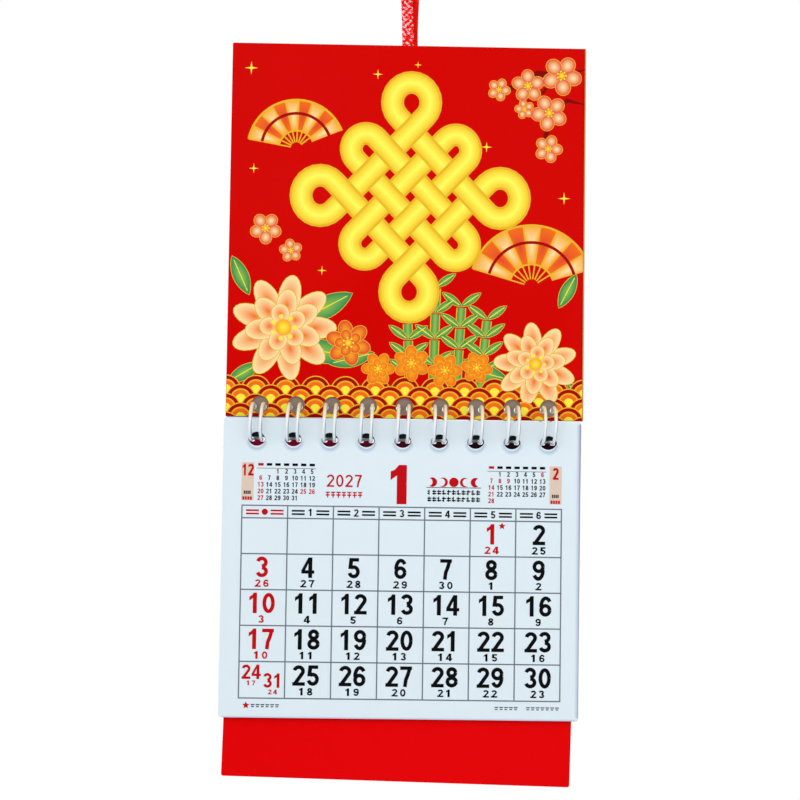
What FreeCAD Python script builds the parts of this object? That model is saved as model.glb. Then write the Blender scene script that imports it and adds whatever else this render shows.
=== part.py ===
import FreeCAD, Part
import Sketcher
import math
import os

# Small wall calendar: a header card hung by a cord, and under it a block of month sheets
# and a backing board, all four strung on one twin-loop wire.
# Frame: +Z up, the front faces -Y, origin at the centre of the nail that the cord hangs on.
# The cards and the wire are drawn about the ring axis, which runs along X.

os.makedirs("parts", exist_ok=True)
doc = FreeCAD.newDocument("wall_calendar")

# Driving dimensions, in millimetres and degrees
SIZES = [
    ("hole_count", 9, "rings and punched holes"),
    ("hole_pitch", 8.467, "three holes to the inch"),
    ("hole_radius", 2.0, "punched hole"),
    ("ring_radius", 4.2, "ring, to the middle of the wire"),
    ("wire_radius", 0.4, "wire"),
    ("twin_spacing", 2.4, "between the two wires of one loop"),
    ("tip_start_angle", 10.0, "where a loop's closed tip begins, from straight down to the back"),
    ("base_angle", 52.0, "where a loop leaves the spine, from straight down to the back"),
    ("spine_bend_radius", 1.0, "bend from a loop into the spine"),
    ("loop_rise", 58.0, "nail centre to the header's top edge"),
    ("ring_forward", 4.5, "ring axis in front of the nail's middle"),
    ("header_width", 84.0, "header card"),
    ("header_height", 88.7, "header card"),
    ("header_thickness", 0.7, "header card"),
    ("header_shift", 0.4, "header card off the rings' middle, to the right"),
    ("header_front", 1.8, "header's front face behind the ring axis"),
    ("header_lift", 1.1, "header's bottom edge above the ring axis"),
    ("header_hole_rise", 4.0, "header's holes above the ring axis"),
    ("pages_width", 83.2, "month sheets"),
    ("pages_height", 69.0, "month sheets"),
    ("pages_thickness", 1.2, "all month sheets together"),
    ("pages_top", 0.9, "top edge of the sheets above the ring axis"),
    ("sheet_hole_drop", 4.4, "holes of the sheets below the ring axis"),
    ("board_hole_drop", 4.1, "holes of the board below the ring axis"),
    ("pages_corner", 1.0, "corner round of the sheets"),
    ("card_corner", 0.5, "corner round of header and board"),
    ("board_gap", 0.4, "between sheets and board"),
    ("board_thickness", 0.6, "backing board"),
    ("board_width", 80.6, "backing board"),
    ("board_height", 81.45, "backing board"),
    ("board_drop", 1.35, "board's top edge below the ring axis"),
    ("board_shift", 1.2, "board off the rings' middle, to the right"),
    ("board_askew", 1.3, "degrees the board hangs askew in the play of its holes"),
    ("cord_radius", 1.05, "cord with the section of the flat braid"),
    ("cord_seat", 0.05, "between the cord and the card or patch that it lies on"),
    ("nail_radius", 1.5, "nail that the cord is made for"),
    ("patch_width", 24.0, "paper patch over the cord's ends"),
    ("patch_height", 15.0, "paper patch over the cord's ends"),
    ("patch_drop", 12.0, "patch below the header's top edge"),
    ("patch_thickness", 0.25, "paper patch"),
    ("patch_channel", 8.4, "width of the raised middle of the patch"),
    ("patch_slope", 2.4, "width of each slope beside the raised middle"),
]

sheet = doc.addObject("Spreadsheet::Sheet", "sizes")
for row, (alias, value, note) in enumerate(SIZES, start=1):
    sheet.set("A%d" % row, alias)
    sheet.set("B%d" % row, str(value))
    sheet.set("C%d" % row, note)
    sheet.setAlias("B%d" % row, alias)
doc.recompute()


def size(alias):
    return float(getattr(sheet, alias))


def plane_of(body, role):
    for feature in body.Origin.OriginFeatures:
        if feature.Role == role:
            return feature
    raise ValueError("no plane " + role)


def new_body(label):
    body = doc.addObject("PartDesign::Body", label)
    body.Label = label
    return body


def new_sketch(body, name, role):
    sketch = body.newObject("Sketcher::SketchObject", name)
    sketch.AttachmentSupport = (plane_of(body, role), "")
    sketch.MapMode = "FlatFace"
    return sketch


def bind(sketch, constraint, label, expression):
    index = sketch.addConstraint(constraint)
    sketch.renameConstraint(index, label)
    sketch.setExpression("Constraints." + label, expression)


# A rectangle whose lower left corner and size are bound to the sheet
def draw_rectangle(sketch, left, bottom, width, height):
    corners = [(-40, 1), (40, 1), (40, 60), (-40, 60)]
    for number in range(4):
        start = FreeCAD.Vector(*corners[number], 0)
        end = FreeCAD.Vector(*corners[(number + 1) % 4], 0)
        sketch.addGeometry(Part.LineSegment(start, end), False)
    for number in range(4):
        sketch.addConstraint(Sketcher.Constraint("Coincident", number, 2, (number + 1) % 4, 1))
    for number, direction in ((0, "Horizontal"), (1, "Vertical"), (2, "Horizontal"), (3, "Vertical")):
        sketch.addConstraint(Sketcher.Constraint(direction, number))
    bind(sketch, Sketcher.Constraint("DistanceX", 0, 1, 0, 2, 80.0), "width", width)
    bind(sketch, Sketcher.Constraint("DistanceY", 1, 1, 1, 2, 59.0), "height", height)
    bind(sketch, Sketcher.Constraint("DistanceX", -1, 1, 0, 1, -40.0), "left", left)
    bind(sketch, Sketcher.Constraint("DistanceY", -1, 1, 0, 1, 1.0), "bottom", bottom)


# A card: a rectangle padded to the back from the front face, its corners rounded, and one
# punched hole repeated along the rings
def make_card(label, left, bottom, width, height, thickness, corner, hole_z):
    body = new_body(label)
    outline = new_sketch(body, label + "_outline", "XZ_Plane")
    draw_rectangle(outline, left, bottom, width, height)
    pad = body.newObject("PartDesign::Pad", label + "_pad")
    pad.Profile = outline
    pad.Reversed = True
    pad.setExpression("Length", thickness)
    doc.recompute()
    card_edges = []
    for number, edge in enumerate(pad.Shape.Edges, start=1):
        if abs(edge.tangentAt(edge.FirstParameter).y) > 0.99:
            card_edges.append("Edge%d" % number)
    rounds = body.newObject("PartDesign::Fillet", label + "_corners")
    rounds.Base = (pad, card_edges)
    rounds.setExpression("Radius", corner)
    doc.recompute()
    before = rounds.Shape.Volume
    punch = new_sketch(body, label + "_hole", "XZ_Plane")
    centre = FreeCAD.Vector(-33.8, -4.0, 0)
    punch.addGeometry(Part.Circle(centre, FreeCAD.Vector(0, 0, 1), 2.0), False)
    bind(punch, Sketcher.Constraint("Radius", 0, 2.0), "radius", "sizes.hole_radius")
    bind(punch, Sketcher.Constraint("DistanceX", -1, 1, 0, 3, -33.8), "first",
         "-(sizes.hole_count - 1) / 2 * sizes.hole_pitch")
    bind(punch, Sketcher.Constraint("DistanceY", -1, 1, 0, 3, -4.0), "level", hole_z)
    hole = body.newObject("PartDesign::Pocket", label + "_punch")
    hole.Profile = punch
    hole.Type = "ThroughAll"
    hole.Midplane = True
    doc.recompute()
    row_of_holes = body.newObject("PartDesign::LinearPattern", label + "_row")
    row_of_holes.Originals = [hole]
    row_of_holes.Direction = (punch, ["H_Axis"])
    row_of_holes.setExpression("Occurrences", "sizes.hole_count")
    row_of_holes.setExpression("Length", "(sizes.hole_count - 1) * sizes.hole_pitch")
    body.Tip = row_of_holes
    doc.recompute()
    cut = before - row_of_holes.Shape.Volume
    expected = size("hole_count") * math.pi * size("hole_radius") ** 2 * size(thickness.split(".")[1])
    print(label, "holes cut", round(cut, 3), "expected", round(expected, 3))
    return body


# Puts a body drawn about the ring axis at its place in front of and below the nail
def place_on_rings(body, front):
    body.setExpression("Placement.Base.y", "-sizes.ring_forward + " + front)
    body.setExpression("Placement.Base.z",
                       "-(sizes.loop_rise + sizes.header_height + sizes.header_lift)")


# Header card, in one plane behind the sheets
header = make_card("header_card", "sizes.header_shift - sizes.header_width / 2", "sizes.header_lift",
                   "sizes.header_width", "sizes.header_height", "sizes.header_thickness",
                   "sizes.card_corner", "sizes.header_hole_rise")
place_on_rings(header, "sizes.header_front")

# Month sheets, one block as they lie together
pages = make_card("month_pages", "-sizes.pages_width / 2", "sizes.pages_top - sizes.pages_height",
                  "sizes.pages_width", "sizes.pages_height", "sizes.pages_thickness",
                  "sizes.pages_corner", "-sizes.sheet_hole_drop")
place_on_rings(pages, "-sizes.pages_thickness / 2")

# Backing board, longer than the sheets. It hangs a little askew in the play of its holes,
# turned about the middle of their row.
board = make_card("backing_board", "sizes.board_shift - sizes.board_width / 2",
                  "-sizes.board_drop - sizes.board_height", "sizes.board_width",
                  "sizes.board_height", "sizes.board_thickness", "sizes.card_corner",
                  "-sizes.board_hole_drop")
board.Placement = FreeCAD.Placement(FreeCAD.Vector(0, 0, 0), FreeCAD.Rotation(FreeCAD.Vector(0, 1, 0), 1))
board.setExpression("Placement.Rotation.Angle", "sizes.board_askew")
board.setExpression("Placement.Base.x", "sizes.board_hole_drop * sin(sizes.board_askew * 1 deg)")
place_on_rings(board, "sizes.pages_thickness / 2 + sizes.board_gap")
doc.recompute()


# A round tube along straight runs and arcs that meet smoothly
def sweep_round(path, radius, label):
    start = path.Edges[0]
    point = start.valueAt(start.FirstParameter)
    direction = start.tangentAt(start.FirstParameter)
    ring = Part.Wire([Part.makeCircle(radius, point, direction)])
    shell = Part.BRepOffsetAPI.MakePipeShell(path)
    shell.setFrenetMode(False)
    shell.add(ring)
    shell.build()
    shell.makeSolid()
    solid = shell.shape()
    print(label, "volume", round(solid.Volume, 3), "section times length",
          round(math.pi * radius ** 2 * path.Length, 3), "length", round(path.Length, 2))
    return solid


# The twin-loop wire is one length of wire. Each loop runs from the spine up behind the
# header, through its hole, down the front and through the holes of sheets and board, where
# it turns back in a closed tip and runs the same way to the spine again.
def ring_point(angle, across):
    turn = math.radians(angle)
    return FreeCAD.Vector(across, size("ring_radius") * math.sin(turn),
                          -size("ring_radius") * math.cos(turn))


def ring_tangent(angle):
    turn = math.radians(angle)
    return FreeCAD.Vector(0, math.cos(turn), math.sin(turn))


def arc_edge(first, middle, last):
    return Part.Arc(first, middle, last).toShape()


def leg_edge(across, from_angle, to_angle):
    middle = (from_angle + to_angle) / 2
    return arc_edge(ring_point(from_angle, across), ring_point(middle, across),
                    ring_point(to_angle, across))


# A quarter bend in the plane of the ring's tangent and the spine
def bend_edge(across, side, rising):
    radius = size("spine_bend_radius")
    angle = size("base_angle")
    centre = ring_point(angle, across + side * radius)
    down = ring_tangent(angle) * -1
    on_leg = ring_point(angle, across)
    on_spine = centre + down * radius
    between = centre + (down - FreeCAD.Vector(side, 0, 0)) * (radius / math.sqrt(2))
    if rising:
        return arc_edge(on_spine, between, on_leg)
    return arc_edge(on_leg, between, on_spine)


def wire_path():
    half = size("twin_spacing") / 2
    tip_angle = 360 + size("tip_start_angle")
    base = size("base_angle")
    count = int(size("hole_count"))
    edges = []
    for number in range(count):
        middle = (number - (count - 1) / 2) * size("hole_pitch")
        left = middle - half
        right = middle + half
        if number > 0:
            rising = bend_edge(left, -1, True)
            previous = edges[-1].valueAt(edges[-1].LastParameter)
            edges.append(Part.LineSegment(previous, rising.valueAt(rising.FirstParameter)).toShape())
            edges.append(rising)
        edges.append(leg_edge(left, base, tip_angle))
        tip = ring_point(tip_angle, middle) + ring_tangent(tip_angle) * half
        edges.append(arc_edge(ring_point(tip_angle, left), tip, ring_point(tip_angle, right)))
        edges.append(leg_edge(right, tip_angle, base))
        if number < count - 1:
            edges.append(bend_edge(right, 1, False))
    return Part.Wire(edges)


wire = doc.addObject("Part::Feature", "wire_binding")
wire.Label = "wire_binding"
wire.Shape = sweep_round(wire_path(), size("wire_radius"), "wire_binding")
place_on_rings(wire, "0")

# The cord's route, from its left end behind the header, up its front ply, over the nail and
# down its back ply. A height is from the header's top edge, or from the nail where so marked.
header_top = -size("loop_rise")
header_back = -size("ring_forward") + size("header_front") + size("header_thickness")
on_card = header_back + size("cord_radius") + size("cord_seat")
over_nail = size("nail_radius") + size("cord_radius")
CORD_ROUTE = [
    (-1.75, on_card, header_top - 23.0),
    (-1.05, on_card + 0.02, header_top - 12.5),
    (0.1, on_card + 0.05, header_top - 2.0),
    (-0.35, on_card + 0.2, header_top + 10.0),
    (-1.2, on_card + 0.55, header_top + 25.0),
    (-over_nail - 0.2, 0.0, over_nail),
    (over_nail + 0.2, 0.0, over_nail),
    (1.6, on_card + 1.75, header_top + 25.0),
    (1.1, on_card + 2.2, header_top + 12.0),
    (0.85, on_card + 2.3, header_top + 2.0),
    (1.4, on_card + 1.6, header_top - 3.7),
    (2.05, on_card + 0.02, header_top - 9.7),
    (2.25, on_card, header_top - 16.7),
]


# Straight runs joined by arcs as large as the two runs at each point allow
def rounded_route(points, label):
    vectors = [FreeCAD.Vector(*point) for point in points]
    edges = []
    radii = []
    leave = vectors[0]
    for before, corner, after in zip(vectors, vectors[1:], vectors[2:]):
        back = (before - corner)
        forth = (after - corner)
        reach = 0.45 * min(back.Length, forth.Length)
        back.normalize()
        forth.normalize()
        half_turn = (math.pi - back.getAngle(forth)) / 2
        radius = reach / math.tan(half_turn)
        radii.append(round(radius, 2))
        bisector = back + forth
        bisector.normalize()
        centre = corner + bisector * (radius / math.cos(half_turn))
        enter = corner + back * reach
        edges.append(Part.LineSegment(leave, enter).toShape())
        leave = corner + forth * reach
        edges.append(Part.Arc(enter, centre - bisector * radius, leave).toShape())
    edges.append(Part.LineSegment(leave, vectors[-1]).toShape())
    print(label, "arc radii", radii)
    return Part.Wire(edges)


cord = doc.addObject("Part::Feature", "hanging_cord")
cord.Label = "hanging_cord"
cord.Shape = sweep_round(rounded_route(CORD_ROUTE, "hanging_cord"), size("cord_radius"), "hanging_cord")

# Paper patch glued on the header's back over the cord's ends: flat at both sides, raised in
# the middle. Its section is drawn from above and padded down.
patch = new_body("cord_patch")
section = new_sketch(patch, "cord_patch_section", "XY_Plane")
half_width = size("patch_width") / 2
half_top = size("patch_channel") / 2
half_foot = half_top + size("patch_slope")
rise = 2 * size("cord_radius") + 2 * size("cord_seat")
skin = size("patch_thickness")
inner = [(-half_width, 0), (-half_foot, 0), (-half_top, rise), (half_top, rise), (half_foot, 0),
         (half_width, 0)]
outer = [(x, y + skin) for x, y in reversed(inner)]
loop = inner + outer
count = len(loop)
for number in range(count):
    start = FreeCAD.Vector(*loop[number], 0)
    end = FreeCAD.Vector(*loop[(number + 1) % count], 0)
    section.addGeometry(Part.LineSegment(start, end), False)
for number in range(count):
    section.addConstraint(Sketcher.Constraint("Coincident", number, 2, (number + 1) % count, 1))
corner_x = ["-sizes.patch_width / 2", "-sizes.patch_channel / 2 - sizes.patch_slope",
            "-sizes.patch_channel / 2", "sizes.patch_channel / 2",
            "sizes.patch_channel / 2 + sizes.patch_slope", "sizes.patch_width / 2"]
corner_y = ["0", "0", "2 * sizes.cord_radius + 2 * sizes.cord_seat",
            "2 * sizes.cord_radius + 2 * sizes.cord_seat", "0", "0"]
for number in range(count):
    at = number if number < 6 else 11 - number
    lift = "" if number < 6 else " + sizes.patch_thickness"
    x, y = loop[number]
    bind(section, Sketcher.Constraint("DistanceX", -1, 1, number, 1, x), "across%d" % number, corner_x[at])
    bind(section, Sketcher.Constraint("DistanceY", -1, 1, number, 1, y), "back%d" % number, corner_y[at] + lift)
patch_pad = patch.newObject("PartDesign::Pad", "cord_patch_pad")
patch_pad.Profile = section
patch_pad.Reversed = True
patch_pad.setExpression("Length", "sizes.patch_height")
patch.Tip = patch_pad
patch.setExpression("Placement.Base.y",
                    "-sizes.ring_forward + sizes.header_front + sizes.header_thickness")
patch.setExpression("Placement.Base.z", "-sizes.loop_rise - sizes.patch_drop")
doc.recompute()

SUB_PARTS = [header, pages, board, wire, cord, patch]

for item in doc.Objects:
    for state in item.State:
        if state in ("Invalid", "Error"):
            raise RuntimeError(item.Label + " failed: " + state)
for piece in SUB_PARTS:
    if piece.Shape.isNull() or not piece.Shape.isValid():
        raise RuntimeError(piece.Label + " has no valid shape")
for piece in SUB_PARTS:
    piece.Shape.exportStep("parts/" + piece.Label + ".step")
    box = piece.Shape.BoundBox
    print(piece.Label, "solids", len(piece.Shape.Solids), "volume", round(piece.Shape.Volume, 2),
          "x", round(box.XMin, 2), round(box.XMax, 2), "y", round(box.YMin, 2), round(box.YMax, 2),
          "z", round(box.ZMin, 2), round(box.ZMax, 2))
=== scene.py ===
import bmesh
import bpy
import math
from mathutils import Matrix, Vector


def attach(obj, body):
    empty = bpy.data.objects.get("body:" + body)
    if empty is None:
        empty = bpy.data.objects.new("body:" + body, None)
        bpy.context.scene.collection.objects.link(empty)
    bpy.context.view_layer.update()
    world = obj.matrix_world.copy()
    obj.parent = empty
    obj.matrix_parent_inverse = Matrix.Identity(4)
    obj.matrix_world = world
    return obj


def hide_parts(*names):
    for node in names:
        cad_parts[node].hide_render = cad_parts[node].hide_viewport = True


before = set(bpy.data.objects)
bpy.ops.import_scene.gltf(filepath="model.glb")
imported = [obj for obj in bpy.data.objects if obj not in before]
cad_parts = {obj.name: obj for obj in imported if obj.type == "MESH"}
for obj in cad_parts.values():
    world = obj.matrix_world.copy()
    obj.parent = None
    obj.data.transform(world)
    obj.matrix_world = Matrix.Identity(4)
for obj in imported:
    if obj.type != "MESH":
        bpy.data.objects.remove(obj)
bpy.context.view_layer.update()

# A small wall calendar: header card on a cord, month sheets and backing board on a wire.
# Metres, +Z up, the front faces -Y, origin at the nail. Sizes in the tables are millimetres.

mm = 0.001
ring = Vector((0.0, -4.5, -147.8))
scene = bpy.context.scene


# sRGB hex text to a linear colour
def colourOf(text):
    linear = []
    for start in (1, 3, 5):
        value = int(text[start:start + 2], 16) / 255
        linear.append(value / 12.92 if value <= 0.04045 else ((value + 0.055) / 1.055) ** 2.4)
    return (*linear, 1.0)


# Adds a node, sets its settings and fills its inputs with values or links. A node given as an
# input stands for its first output.
def addNode(tree, kind, inputs=None, **settings):
    node = tree.nodes.new(kind)
    for name, value in settings.items():
        setattr(node, name, value)
    for name, value in (inputs or {}).items():
        if isinstance(value, bpy.types.Node):
            value = value.outputs[0]
        if isinstance(value, bpy.types.NodeSocket):
            tree.links.new(value, node.inputs[name])
        else:
            node.inputs[name].default_value = value
    return node


def newMaterial(name):
    material = bpy.data.materials.new(name)
    material.use_nodes = True
    tree = material.node_tree
    tree.nodes.clear()
    shader = tree.nodes.new("ShaderNodeBsdfPrincipled")
    output = tree.nodes.new("ShaderNodeOutputMaterial")
    tree.links.new(shader.outputs["BSDF"], output.inputs["Surface"])
    return material, tree, shader


# A math node with its values or links in order
def mathNode(tree, operation, *values, clamp=False):
    return addNode(tree, "ShaderNodeMath", dict(enumerate(values)), operation=operation, use_clamp=clamp)


# Mixes two colours, each given as a value or a link
def mixColours(tree, share, first, second):
    return addNode(tree, "ShaderNodeMix", {"Factor": share, 6: first, 7: second}, data_type="RGBA").outputs[2]


# A two-colour mottle and a fine bump, both from Object coordinates in millimetres
def addGrain(tree, shader, low, high, mottle, fibre, depth):
    place = addNode(tree, "ShaderNodeTexCoord")
    scaled = addNode(tree, "ShaderNodeVectorMath", {0: place.outputs["Object"], 1: (1000, 1000, 1000)},
                     operation="MULTIPLY")
    patches = addNode(tree, "ShaderNodeTexNoise", {"Vector": scaled, "Scale": 1 / mottle, "Detail": 3.0})
    tint = mixColours(tree, patches.outputs["Fac"], low, high)
    grain = addNode(tree, "ShaderNodeTexNoise", {"Vector": scaled, "Scale": 1 / fibre,
                                                 "Detail": 4.0})
    bump = addNode(tree, "ShaderNodeBump", {"Height": grain.outputs["Fac"], "Strength": 1.0,
                                            "Distance": depth * mm})
    tree.links.new(bump.outputs["Normal"], shader.inputs["Normal"])
    return tint, scaled.outputs[0]


def meshObject(name, points, faces, material):
    mesh = bpy.data.meshes.new(name)
    mesh.from_pydata(points, [], faces)
    mesh.materials.append(material)
    made = bpy.data.objects.new(name, mesh)
    scene.collection.objects.link(made)
    return made


# Smooth shading, with edges above the angle kept sharp. A card's flat faces stay flat.
def shade(made, angle=35, card=False):
    mesh = made.data
    for face in mesh.polygons:
        face.use_smooth = not card or abs(face.normal.y) < 0.8
    mesh.set_sharp_from_angle(angle=math.radians(angle))
    mesh.update()
    return made


def toMesh(holder, name):
    scene.collection.objects.link(holder)
    bpy.context.view_layer.update()
    graph = bpy.context.evaluated_depsgraph_get()
    mesh = bpy.data.meshes.new_from_object(holder.evaluated_get(graph))
    mesh.name = name
    bpy.data.objects.remove(holder)
    return mesh


# Corner points of a rounded rectangle, counterclockwise
def roundedRectangle(left, bottom, right, top, corner, steps=5):
    points = []
    for middleX, middleZ, first in ((right - corner, top - corner, 0), (left + corner, top - corner, 90),
                                    (left + corner, bottom + corner, 180), (right - corner, bottom + corner, 270)):
        for step in range(steps + 1):
            turn = math.radians(first + 90 * step / steps)
            points.append((middleX + corner * math.cos(turn), middleZ + corner * math.sin(turn)))
    return points


def ovalHole(x, z, radius, tall=1.0, sides=40):
    turns = [math.tau * side / sides for side in range(sides)]
    return [(x + radius * math.cos(turn), z + radius * tall * math.sin(turn)) for turn in turns]


# A punched card as a filled flat curve, its edges softened by a small bevel. The outline is
# in x and z from the ring axis, the front face at y = front.
def cutCard(name, outline, holes, front, thickness, soft):
    curve = bpy.data.curves.new(name, "CURVE")
    curve.dimensions = "2D"
    curve.fill_mode = "BOTH"
    curve.extrude = (thickness / 2 - soft) * mm
    curve.bevel_depth = soft * mm
    curve.bevel_resolution = 1
    rings = [outline, *holes]
    for number, line in enumerate(rings):
        if soft:
            # The bevel grows outwards, so the outline is drawn smaller and the holes larger
            line = insetLine(line, soft if number == 0 else -soft)
        spline = curve.splines.new("POLY")
        spline.points.add(len(line) - 1)
        for point, (x, z) in zip(spline.points, line):
            point.co = (x * mm, z * mm, 0, 1)
        spline.use_cyclic_u = True
    mesh = toMesh(bpy.data.objects.new(name, curve), name)
    # Flat curve plane to the card's plane: curve X to X, curve Y to Z, curve Z to -Y
    mesh.transform(Matrix.Translation((0, (front + thickness / 2) * mm, 0)) @ Matrix.Rotation(math.pi / 2, 4, "X"))
    work = bmesh.new()
    work.from_mesh(mesh)
    bmesh.ops.remove_doubles(work, verts=work.verts, dist=0.002 * mm)
    bmesh.ops.recalc_face_normals(work, faces=work.faces)
    work.to_mesh(mesh)
    work.free()
    mesh.materials.clear()
    made = bpy.data.objects.new(name, mesh)
    scene.collection.objects.link(made)
    return made


# Moves a counterclockwise closed line inwards by an amount
def insetLine(line, amount):
    moved = []
    count = len(line)
    for number in range(count):
        before, here, after = Vector(line[number - 1]), Vector(line[number]), Vector(line[(number + 1) % count])
        first = (here - before).normalized()
        second = (after - here).normalized()
        normal = Vector((-(first.y + second.y), first.x + second.x))
        if normal.length < 1e-6:
            normal = Vector((-first.y, first.x))
        normal.normalize()
        reach = amount / max(0.3, normal.dot(Vector((-first.y, first.x))))
        moved.append((here.x + normal.x * reach, here.y + normal.y * reach))
    return moved


# Faces looking to the front take material 0, the back takes 1 and the cut edges take 2
def faceMaterials(made, front, back, edge):
    for material in (front, back, edge):
        made.data.materials.append(material)
    for face in made.data.polygons:
        face.material_index = 0 if face.normal.y < -0.8 else 1 if face.normal.y > 0.8 else 2


def moveToRing(made):
    made.data.transform(Matrix.Translation(ring * mm))
    made.data.update()


# ---- Camera: close to the calendar and a little below the rings ----
view = {"target": (-0.779, 0.0, 5.464), "distance": 250.35, "azimuth": -0.61, "elevation": -2.01,
        "roll": 0.819, "focal": 1073.6, "frame": 800}
azimuth, elevation, roll = (math.radians(view[key]) for key in ("azimuth", "elevation", "roll"))
forward = Vector((-math.sin(azimuth) * math.cos(elevation), math.cos(azimuth) * math.cos(elevation),
                  -math.sin(elevation)))
level = forward.cross(Vector((0, 0, 1))).normalized()
upright = level.cross(forward)
right = math.cos(roll) * level + math.sin(roll) * upright
up = -math.sin(roll) * level + math.cos(roll) * upright
spot = ring + Vector(view["target"]) - view["distance"] * forward
camera = bpy.data.objects.new("camera", bpy.data.cameras.new("camera"))
scene.collection.objects.link(camera)
camera.data.sensor_width = 36
camera.data.lens = 36 * view["focal"] / view["frame"]
camera.data.clip_start = 0.01
camera.matrix_world = Matrix(((right.x, up.x, -forward.x, spot.x * mm), (right.y, up.y, -forward.y, spot.y * mm),
                              (right.z, up.z, -forward.z, spot.z * mm), (0, 0, 0, 1)))
scene.camera = camera
print("camera placed")


# ---- Tubes ----
# Closed tube along points. Sides give each point's width direction; flat is the height
# across it as a share of the width.
def tubeMesh(points, radius, sides, widths=None, flat=1.0, store=None):
    store = store if store is not None else {"points": [], "faces": [], "uv": []}
    count = len(points)
    tangents = []
    for number in range(count):
        ahead = points[min(number + 1, count - 1)] - points[max(number - 1, 0)]
        tangents.append(ahead.normalized())
    side = widths[0] if widths else tangents[0].orthogonal().normalized()
    first = len(store["points"])
    run = 0.0
    for number in range(count):
        if number:
            run += (points[number] - points[number - 1]).length
        if widths:
            side = widths[number]
        side = (side - tangents[number] * side.dot(tangents[number])).normalized()
        over = tangents[number].cross(side)
        for step in range(sides):
            turn = math.tau * step / sides
            store["points"].append(points[number] + side * (radius * math.cos(turn))
                                   + over * (radius * flat * math.sin(turn)))
            store["uv"].append((step / sides, run))
    for number in range(count - 1):
        for step in range(sides):
            a = first + number * sides + step
            b = first + number * sides + (step + 1) % sides
            store["faces"].append((a, b, b + sides, a + sides))
    store["faces"].append(tuple(first + step for step in reversed(range(sides))))
    store["faces"].append(tuple(first + (count - 1) * sides + step for step in range(sides)))
    return store


# ---- Twin-loop wire ----
wire = {"loops": 9, "pitch": 8.467, "ringRadius": 4.2, "radius": 0.4, "spacing": 2.4, "tipAngle": 370,
        "baseAngle": 52, "bend": 1.0, "lean": 0.03, "paintedShadeSide": "#8798AC", "paintedReflectionTint": "#EEF6FC",
        "colour": "#F4EDD6", "shade": "#EAE2CB", "roughness": 0.28}


def ringPoint(angle, across):
    turn = math.radians(angle)
    return Vector((across, wire["ringRadius"] * math.sin(turn), -wire["ringRadius"] * math.cos(turn)))


def ringTangent(angle):
    turn = math.radians(angle)
    return Vector((0, math.cos(turn), math.sin(turn)))


def bendPoints(across, side):
    centre = ringPoint(wire["baseAngle"], across + side * wire["bend"])
    down = -ringTangent(wire["baseAngle"])
    points = []
    for step in range(7):
        turn = math.pi / 2 * step / 6
        points.append(centre + Vector((-side, 0, 0)) * (wire["bend"] * math.cos(turn))
                      + down * (wire["bend"] * math.sin(turn)))
    return points


wirePoints = []
half = wire["spacing"] / 2
for number in range(wire["loops"]):
    middle = (number - (wire["loops"] - 1) / 2) * wire["pitch"]
    if number:
        wirePoints += list(reversed(bendPoints(middle - half, -1)))
    legs = [wire["baseAngle"] + (wire["tipAngle"] - wire["baseAngle"]) * step / 44 for step in range(45)]
    wirePoints += [ringPoint(angle, middle - half) for angle in legs]
    for step in range(1, 12):
        turn = math.pi * step / 12
        base = ringPoint(wire["tipAngle"], middle - half * math.cos(turn))
        wirePoints.append(base + ringTangent(wire["tipAngle"]) * (half * math.sin(turn)))
    wirePoints += [ringPoint(angle, middle + half) for angle in reversed(legs)]
    if number < wire["loops"] - 1:
        wirePoints += bendPoints(middle + half, 1)
# The loops lean a little to the right as they rise
for point in wirePoints:
    point.x += wire["lean"] * point.z
cleanPoints = [wirePoints[0]]
for point in wirePoints[1:]:
    if (point - cleanPoints[-1]).length > 0.02:
        cleanPoints.append(point)

# Nylon-coated steel wire, off-white and smooth
nylon, tree, shader = newMaterial("nylonCoatedWire")
tint, _ = addGrain(tree, shader, colourOf(wire["shade"]), colourOf(wire["colour"]), 2.5, 0.3, 0.004)
# Painted light: above the header the cream is partly a painted warm reflection of the red card; below it the coating
# takes a painted bluish reflection of the pages, and a painted slate shade on its right side
place = addNode(tree, "ShaderNodeTexCoord")
placeParts = addNode(tree, "ShaderNodeSeparateXYZ", {"Vector": place.outputs["Object"]})
normalParts = addNode(tree, "ShaderNodeSeparateXYZ", {"Vector": place.outputs["Normal"]})
low = addNode(tree, "ShaderNodeMapRange", {"Value": placeParts.outputs["Z"], "From Min": (ring.z + 2.0) * mm,
                                           "From Max": (ring.z - 0.5) * mm})
paintedReflectionTint = mixColours(tree, low, tint, colourOf(wire["paintedReflectionTint"]))
paintedShadeShare = mathNode(tree, "MULTIPLY_ADD", normalParts.outputs["X"], 2.4, -0.75, clamp=True)
paintedShadeShare = mathNode(tree, "MULTIPLY", paintedShadeShare, low)
tree.links.new(mixColours(tree, paintedShadeShare, paintedReflectionTint, colourOf(wire["paintedShadeSide"])), shader.inputs["Base Color"])
shader.inputs["Roughness"].default_value = wire["roughness"]
shader.inputs["Coat Weight"].default_value = 0.4

tube = tubeMesh([point * mm for point in cleanPoints], wire["radius"] * mm, 14)
binding = meshObject("twinLoopWire", tube["points"], tube["faces"], nylon)
shade(binding, 60)
moveToRing(binding)
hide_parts("wire_binding")
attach(binding, "binding")
print("wire made")

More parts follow.
